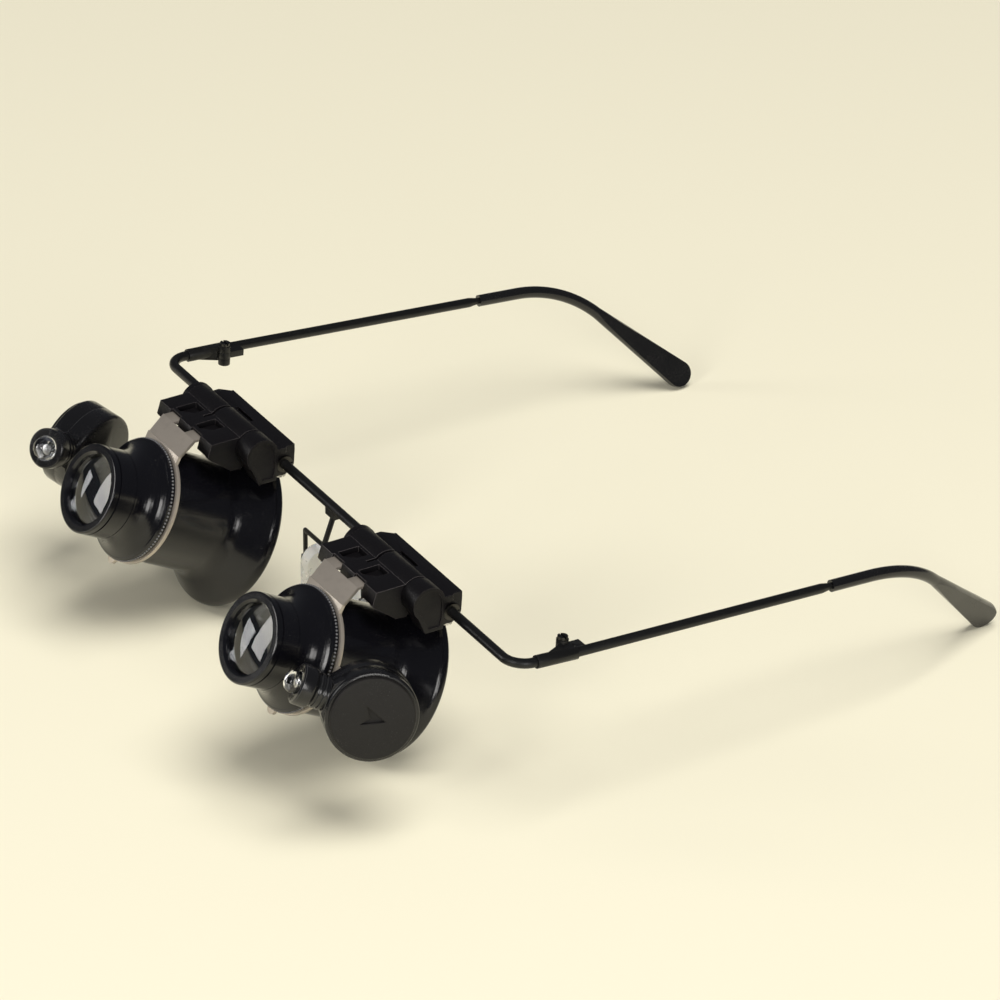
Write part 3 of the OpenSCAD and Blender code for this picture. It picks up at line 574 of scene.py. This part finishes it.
def softened(
    node: str, width: float, segments: int = 2, flat: float = 0.6, limit: float = 28.0,
    edge: str | None = None
) -> bpy.types.Object:
    """Makes a piece from a CAD node with its edges rounded, in the node's place.

    Args:
        node: The node's name.
        width: How wide the rounding is, in metres.
        segments: How many faces a rounding has.
        flat: Faces that meet at less than this angle are joined first, in degrees.
        limit: Edges sharper than this angle are rounded, in degrees.
        edge: The finish of the rounded edges, where it isn't the piece's own one; the paler edge finishes
            used here are painted highlights.

    Returns:
        The piece, riding on the node's body.
    """
    source = frame["nodes"][node]
    piece = bpy.data.objects.new(f"{node}_shape", source.data.copy())
    bpy.context.scene.collection.objects.link(piece)
    take(piece)
    bpy.ops.object.mode_set(mode="EDIT")
    bpy.ops.mesh.select_all(action="SELECT")
    bpy.ops.mesh.remove_doubles(threshold=WELD)
    bpy.ops.mesh.dissolve_limited(angle_limit=math.radians(flat))
    bpy.ops.object.mode_set(mode="OBJECT")
    slot = next(s["material_slot"] for s in frame["record"]["subparts"] if s["node"] == node)
    WARDROBE.put(piece, EXTRA.get(node, slot))
    # A second finish for the rounded edges: a paler one painted on as a highlight along them.
    if edge:
        piece.data.materials.append(WARDROBE.material(edge))
    finish_with(piece, "BEVEL", width=width, segments=segments, limit_method="ANGLE",
                material=EDGE_SLOT if edge else OWN_SLOT, angle_limit=math.radians(limit),
                use_clamp_overlap=True, harden_normals=False)
    smooth(piece, SHAPE_ANGLE)
    body = source["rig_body"]
    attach(piece, body)
    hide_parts(node)
    return piece


# Places of the magnifiers and lamps, read from the part's record


def mount_of(side: Side) -> dict:
    """Finds the record's entry for a magnifier's front barrel.

    Args:
        side: The side of the magnifier.

    Returns:
        The mount's entry.
    """
    return next(m for m in frame["record"]["mounts"] if m["name"] == f"front_barrel_{side.word}")


def joint_of(name: str) -> dict:
    """Finds a joint in the record.

    Args:
        name: The joint's name.

    Returns:
        The joint's entry.
    """
    return next(j for j in frame["record"]["behaviour"]["joints"] if j["name"] == name)


def axes_at(x: Vector, y: Vector, z: Vector, at: Vector) -> Matrix:
    """Joins three directions and a point to one matrix.

    Args:
        x: Direction of the local X.
        y: Direction of the local Y.
        z: Direction of the local Z.
        at: The local origin.

    Returns:
        The matrix from local to shared coordinates.
    """
    turn = Matrix((x, y, z)).transposed().to_4x4()
    return Matrix.Translation(at) @ turn


def magnifier_frame(side: Side) -> Matrix:
    """Places a magnifier: the origin at its front, X outwards, Y along its axis to the eye, Z up.

    Args:
        side: The magnifier's side.

    Returns:
        The matrix from there to the shared frame.
    """
    mount = mount_of(side)
    back = -Vector(mount["axis"]).normalized()
    middle = (FRONT_EDGE + mount["dims"]["length_mm"] / 2) * MM
    up = Vector((1, 0, 0)).cross(back)
    return axes_at(Vector((side.value, 0, 0)), back, up, Vector(mount["pos_m"]) - back * middle)


def lamp_frame(side: Side) -> Matrix:
    """Places a lamp: the origin in its battery case, X through the cap, -Y the way it shines.

    Args:
        side: The lamp's side.

    Returns:
        The matrix from there to the shared frame.
    """
    joint = joint_of(f"cap_turn_{side.word}")
    out = Vector(joint["axis"]).normalized()
    up = magnifier_frame(side).col[2].xyz
    return axes_at(out, up.cross(out) * side.value, up, Vector(joint["pos_m"]))


# New pieces


def placed(piece: bpy.types.Object, where: Matrix) -> None:
    """Moves a piece from its own frame to the shared one.

    Args:
        piece: The piece, modelled about its own origin.
        where: The matrix from its frame to the shared one.
    """
    piece.matrix_world = where @ piece.matrix_world
    settle(piece)
    bpy.ops.object.mode_set(mode="EDIT")
    bpy.ops.mesh.select_all(action="SELECT")
    bpy.ops.mesh.normals_make_consistent(inside=False)
    bpy.ops.object.mode_set(mode="OBJECT")


def worn(piece: bpy.types.Object, body: str, slot: str, finish: str | None = None) -> None:
    """Fastens a new piece to a body and dresses it.

    Args:
        piece: The piece.
        body: The body that carries it.
        slot: The record's material slot that it counts to.
        finish: Its finish, where this isn't the slot's own one.
    """
    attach(piece, body)
    WARDROBE.put(piece, finish or slot)


def ring_of(name: str, radius: float, wire: float, along: float, steps: int = 96) -> bpy.types.Object:
    """Models a round ring about the Y axis.

    Args:
        name: The piece's name.
        radius: Radius of its middle line, in millimetres.
        wire: Radius of its section.
        along: Its place on the axis.
        steps: Faces round it.

    Returns:
        The ring.
    """
    deselect()
    bpy.ops.mesh.primitive_torus_add(
        major_segments=steps, minor_segments=RING_SIDES, major_radius=radius * MM, minor_radius=wire * MM,
        location=(0, along * MM, 0), rotation=(math.pi / 2, 0, 0))
    ring = bpy.context.active_object
    ring.name = name
    settle(ring)
    smooth(ring, RING_ANGLE)
    return ring


def join(pieces: list[bpy.types.Object], name: str) -> bpy.types.Object:
    """Joins two or more pieces to one object.

    Args:
        pieces: The pieces, of which the first one stays.
        name: The name of the joined piece.

    Returns:
        The joined piece.
    """
    deselect()
    for piece in pieces:
        piece.select_set(True)
    bpy.context.view_layer.objects.active = pieces[0]
    bpy.ops.object.join()
    pieces[0].name = name
    return pieces[0]


# Sub-assemblies


@dataclass
class Brow:
    """The brow bar with the hinge blocks at its ends."""

    block_edge: float = 0.12
    pieces: list[bpy.types.Object] = field(default_factory=list, repr=False)

    def build(self) -> None:
        """Rounds the edges of the hinge blocks."""
        for side in Side:
            self.pieces.append(softened(f"hinge_block_{side.word}", self.block_edge * MM))

    def dress(self) -> None:
        """Leaves the blocks in the finish of the wire."""
        for piece in self.pieces:
            WARDROBE.put(piece, "coated_wire")


@dataclass
class NoseRest:
    """The nose wire and its two silicone pads."""

    pad_edge: float = 0.45
    pieces: list[bpy.types.Object] = field(default_factory=list, repr=False)

    def build(self) -> None:
        """Rounds the pads all over."""
        for side in Side:
            self.pieces.append(softened(f"nose_pad_{side.word}", self.pad_edge * MM, segments=4))

    def dress(self) -> None:
        """Gives the pads their cloudy silicone."""
        for piece in self.pieces:
            WARDROBE.put(piece, "silicone")


@dataclass
class Temple:
    """One temple: the coated rod and its ear sleeve."""

    side: Side
    knuckle_edge: float = 0.1
    pieces: list[bpy.types.Object] = field(default_factory=list, repr=False)

    def build(self) -> None:
        """Rounds the knuckle's edges."""
        self.pieces.append(softened(f"temple_rod_{self.side.word}", self.knuckle_edge * MM))

    def dress(self) -> None:
        """Leaves the rod in its coating."""
        for piece in self.pieces:
            WARDROBE.put(piece, "coated_wire")


@dataclass
class Clip:
    """One flip-up clip: its moulded leaf and base."""

    side: Side
    pupil: float = 34.6
    leaf_edge: float = 0.2
    base_edge: float = 0.2
    leaf_x: float = -2.95
    seam_half: float = 0.75
    seam_y: Pair = (-13.2, -10.1)
    seam_z: Pair = (4.92, 6.215)
    web_half: float = 6.5
    web_y: Pair = (-13.6, -8.3)
    web_z: Pair = (4.3, 4.86)
    pieces: list[bpy.types.Object] = field(default_factory=list, repr=False)

    def block(self, name: str, half: float, y: Pair, z: Pair) -> bpy.types.Object:
        """Models a block that fills a part of the leaf, about the leaf's middle.

        Args:
            name: The block's name.
            half: Half its width, in millimetres.
            y: Where it starts and ends along Y, from the bar.
            z: Where it starts and ends along Z, from the bar.

        Returns:
            The block, in the leaf's finish.
        """
        deselect()
        bar = Vector(joint_of(f"clip_tilt_{self.side.word}")["pos_m"])
        pupil = Vector((self.side.value * self.pupil, 0, 0))
        middle = pupil + Vector((self.leaf_x, sum(y) / 2, sum(z) / 2))
        bpy.ops.mesh.primitive_cube_add(size=1, location=middle * MM + Vector((0, bar.y, bar.z)))
        block = bpy.context.active_object
        block.name = f"{name}_{self.side.word}"
        block.scale = Vector((2 * half, y[1] - y[0], z[1] - z[0])) * MM
        settle(block)
        worn(block, f"loupe_{self.side.word}", "clip_plastic")
        return block

    def build(self) -> None:
        """Rounds the mouldings' edges, and closes the leaf's seam in front and its windows below."""
        for node, width in (("clip_leaf", self.leaf_edge), ("clip_base", self.base_edge)):
            name = f"{node}_{self.side.word}"
            # The rounded edges take a paler finish, a painted highlight along the edges.
            self.pieces.append(softened(name, width * MM, segments=3, edge="clip_edge"))
        self.pieces.append(self.block("leaf_seam", self.seam_half, self.seam_y, self.seam_z))
        self.pieces.append(self.block("leaf_web", self.web_half, self.web_y, self.web_z))

    def dress(self) -> None:
        """Logs the clip, whose mouldings got satin plastic with paler edges, a painted highlight, as they
        were built.
        """
        LOG.info("clip %s: %d pieces in clip plastic", self.side.word, len(self.pieces))


@dataclass
class Magnifier:
    """One magnifier: front cell, beaded flange, lens rim and eyecup."""

    side: Side
    bead_count: int = 108
    bead_r: float = 0.27
    bead_ring: float = 13.12
    bead_at: float = 12.3
    rim_r: float = 7.74
    rim_wire: float = 0.1
    rim_at: float = 1.15
    pieces: list[bpy.types.Object] = field(default_factory=list, repr=False)

    @property
    def body(self) -> str:
        """Names the body that carries the magnifier.

        Returns:
            The body's name.
        """
        return f"loupe_{self.side.word}"

    def bead(self) -> bpy.types.Object:
        """Models one bead of the flange's grip, at the top of its ring.

        Returns:
            The bead.
        """
        deselect()
        bpy.ops.mesh.primitive_ico_sphere_add(
            subdivisions=2, radius=self.bead_r * MM, location=(0, self.bead_at * MM, self.bead_ring * MM))
        bead = bpy.context.active_object
        settle(bead)
        smooth(bead, BEAD_ANGLE)
        return bead

    def beads(self) -> bpy.types.Object:
        """Copies the bead all round the flange.

        Returns:
            The ring of beads.
        """
        first = self.bead()
        copies = [first]
        for index in range(1, self.bead_count):
            copy = bpy.data.objects.new(f"bead_{index}", first.data.copy())
            bpy.context.scene.collection.objects.link(copy)
            copy.matrix_world = Matrix.Rotation(math.tau * index / self.bead_count, 4, "Y")
            settle(copy)
            copies.append(copy)
        return join(copies, f"flange_beads_{self.side.word}")

    def build(self) -> None:
        """Models the beads of the flange and the thin ring that frames the lens."""
        where = magnifier_frame(self.side)
        beads = self.beads()
        rim = ring_of(f"lens_rim_{self.side.word}", self.rim_r, self.rim_wire, self.rim_at)
        for piece in (beads, rim):
            placed(piece, where)
            worn(piece, self.body, "tube_gloss")
            self.pieces.append(piece)

    def dress(self) -> None:
        """Gives the beads a pale grey painted on as their highlight, and the lens ring a brighter gloss
        than the tube's.
        """
        for piece, finish in zip(self.pieces, ("bead_wear", "rim_gloss")):
            WARDROBE.put(piece, finish)


@dataclass
class MountPlate:
    """The nickel-plated sheet between magnifier, clip and lamp."""

    side: Side
    edge: float = 0.16
    pieces: list[bpy.types.Object] = field(default_factory=list, repr=False)

    def build(self) -> None:
        """Rounds the sheet's stamped edges."""
        self.pieces.append(softened(f"mount_plate_{self.side.word}", self.edge * MM))

    def dress(self) -> None:
        """Gives the sheet its nickel."""
        for piece in self.pieces:
            WARDROBE.put(piece, "nickel")


@dataclass
class Lamp:
    """One lamp: its two shells, the cap with its arrow, and what shows inside the bulb."""

    side: Side
    # Width of the shells' rounded edges, which carry the paler finish painted as a highlight, in
    # millimetres.
    shell_edge: float = 0.14
    cap_edge: float = 0.14
    post_x: float = 0.55
    post_r: float = 0.22
    cup_r: float = 0.75
    cup_at: float = -15.6
    cup_deep: float = 0.5
    post_from: float = -13.2
    die_r: float = 0.5
    die_span: Pair = (0.75, 0.55)
    pieces: list[bpy.types.Object] = field(default_factory=list, repr=False)

    @property
    def body(self) -> str:
        """Names the body that carries the lamp.

        Returns:
            The body's name.
        """
        return f"lamp_{self.side.word}"

    def rod(self, name: str, radius: float, x: float, start: float, end: float) -> bpy.types.Object:
        """Models a rod along the lamp's own axis.

        Args:
            name: The piece's name.
            radius: Its radius in millimetres.
            x: Its distance from the axis.
            start: Where it starts on the axis.
            end: Where it ends.

        Returns:
            The rod.
        """
        deselect()
        bpy.ops.mesh.primitive_cylinder_add(
            vertices=ROD_SIDES, radius=radius * MM, depth=abs(end - start) * MM,
            location=(x * MM, (start + end) / 2 * MM, 0), rotation=(math.pi / 2, 0, 0))
        rod = bpy.context.active_object
        rod.name = name
        settle(rod)
        finish_with(rod, "BEVEL", width=radius * ROD_EDGE * MM, segments=2, limit_method="ANGLE")
        smooth(rod)
        return rod

    def build(self) -> None:
        """Rounds the shells and the cap, and models the bulb's posts and die."""
        word = self.side.word
        # The shells' rounded edges take a paler finish, a painted highlight along the edges and the seam.
        for node, width, edge in (
            ("lamp_inner", self.shell_edge, "shell_edge"),
            ("lamp_outer", self.shell_edge, "shell_edge"),
            ("battery_cap", self.cap_edge, None),
        ):
            self.pieces.append(softened(f"{node}_{word}", width * MM, segments=3, edge=edge))
        where = lamp_frame(self.side)
        posts = join([
            self.rod("post", self.post_r, -self.post_x, self.cup_at, self.post_from),
            self.rod("anvil", self.post_r, self.post_x, self.cup_at, self.post_from),
            self.rod("cup", self.cup_r, -self.post_x / 2, self.cup_at - self.cup_deep, self.cup_at),
        ], f"bulb_posts_{word}")
        start, end = (self.cup_at - reach for reach in self.die_span)
        die = self.rod(f"bulb_die_{word}", self.die_r, -self.post_x / 2, start, end)
        for piece, slot in ((posts, "nickel"), (die, "contact_metal")):
            placed(piece, where)
            worn(piece, self.body, slot, "cell_steel")

    def dress(self) -> None:
        """Logs the lamp, whose plastics and paler shell edges, a painted highlight, were put on as they
        were built.
        """
        LOG.info("lamp %s: %d rounded pieces", self.side.word, len(self.pieces))


# The room


@dataclass(frozen=True)
class Softbox:
    """One soft area light that looks at the object: its place and size in metres, its power in watts."""

    name: str
    place: Triple
    size: Pair
    power: float
    mirrored: bool = True
    color: Triple = (1.0, 0.98, 0.95)
    target: Triple = (0, 0, 0.02)

    def build(self) -> None:
        """Hangs the light."""
        data = bpy.data.lights.new(self.name, "AREA")
        data.shape = "RECTANGLE"
        data.size, data.size_y = self.size
        data.energy = self.power
        data.color = self.color
        light = bpy.data.objects.new(self.name, data)
        bpy.context.scene.collection.objects.link(light)
        light.visible_glossy = self.mirrored
        light.location = self.place
        light.rotation_mode = "QUATERNION"
        light.rotation_quaternion = (Vector(self.place) - Vector(self.target)).to_track_quat("Z", "Y")


SOFTBOXES = (
    Softbox("left", (-0.7, -1.04, 0.36), (0.29, 0.56), 3.2),
    Softbox("front", (0.45, -1.1, 0.68), (0.25, 0.5), 4.5),
    Softbox("side", (1.37, -0.32, 0.53), (0.5, 0.6), 6.5),
    Softbox("top", (0.6, 0.2, 2.2), (1.6, 1.6), 50.0, mirrored=False),
)


@dataclass
class Room:
    """The pale floor, the soft light and the camera."""

    floor_half: float = 3.0
    floor_color: Triple = (0.88, 0.835, 0.65)
    floor_roughness: float = 0.55
    sky_color: Triple = (0.86, 0.9, 1.0)
    sky_strength: float = 0.09
    camera_at: Triple = (1.014824, -0.608340, 0.714213)
    azimuth: float = 59.096
    elevation: float = 30.228
    roll: float = 0.291
    lens: float = 233.91
    sensor: float = 36.0
    clip: Pair = (0.05, 20.0)

    def build(self) -> None:
        """Builds floor, lights and camera."""
        self.floor()
        self.lights()
        self.camera()
        LOG.info("room built")

    def floor(self) -> None:
        """Lays the floor."""
        deselect()
        bpy.ops.mesh.primitive_plane_add(size=2 * self.floor_half, location=(0, 0, 0))
        floor = bpy.context.active_object
        floor.name = "floor"
        settle(floor)
        material = bpy.data.materials.new("floor")
        material.use_nodes = True
        shader = material.node_tree.nodes["Principled BSDF"]
        shader.inputs["Base Color"].default_value = (*self.floor_color, 1.0)
        shader.inputs["Roughness"].default_value = self.floor_roughness
        floor.data.materials.append(material)

    def lights(self) -> None:
        """Hangs the softboxes and fills the rest with pale light."""
        for softbox in SOFTBOXES:
            softbox.build()
        world = bpy.data.worlds.new("room")
        world.use_nodes = True
        background = world.node_tree.nodes["Background"]
        background.inputs["Color"].default_value = (*self.sky_color, 1.0)
        background.inputs["Strength"].default_value = self.sky_strength
        bpy.context.scene.world = world
        bpy.context.scene.view_settings.view_transform = "Standard"

    def camera(self) -> None:
        """Sets up the camera at the photograph's place."""
        data = bpy.data.cameras.new("camera")
        data.lens = self.lens
        data.sensor_width = self.sensor
        data.clip_start, data.clip_end = self.clip
        camera = bpy.data.objects.new("camera", data)
        bpy.context.scene.collection.objects.link(camera)
        around, above = math.radians(self.azimuth), math.radians(self.elevation)
        level = math.cos(above)
        back = Vector((math.sin(around) * level, -math.cos(around) * level, math.sin(above)))
        right = Vector((math.cos(around), math.sin(around), 0.0))
        turn = Matrix((right, back.cross(right), back)).transposed()
        roll = Matrix.Rotation(math.radians(self.roll), 3, "Z")
        camera.rotation_mode = "QUATERNION"
        camera.rotation_quaternion = (turn @ roll).to_quaternion()
        camera.location = self.camera_at
        bpy.context.scene.camera = camera


def main() -> None:
    """Builds the scene piece by piece."""
    logging.basicConfig(level=logging.INFO, format="%(name)s: %(message)s")
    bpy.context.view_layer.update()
    WARDROBE.dress_nodes()
    LOG.info("CAD nodes dressed")
    Room().build()
    parts = [Brow(), NoseRest()]
    for side in Side:
        parts += [Temple(side), Clip(side), Magnifier(side), MountPlate(side), Lamp(side)]
    for part in parts:
        part.build()
        part.dress()
        LOG.info("built %s", part)


if __name__ == "__main__":
    main()
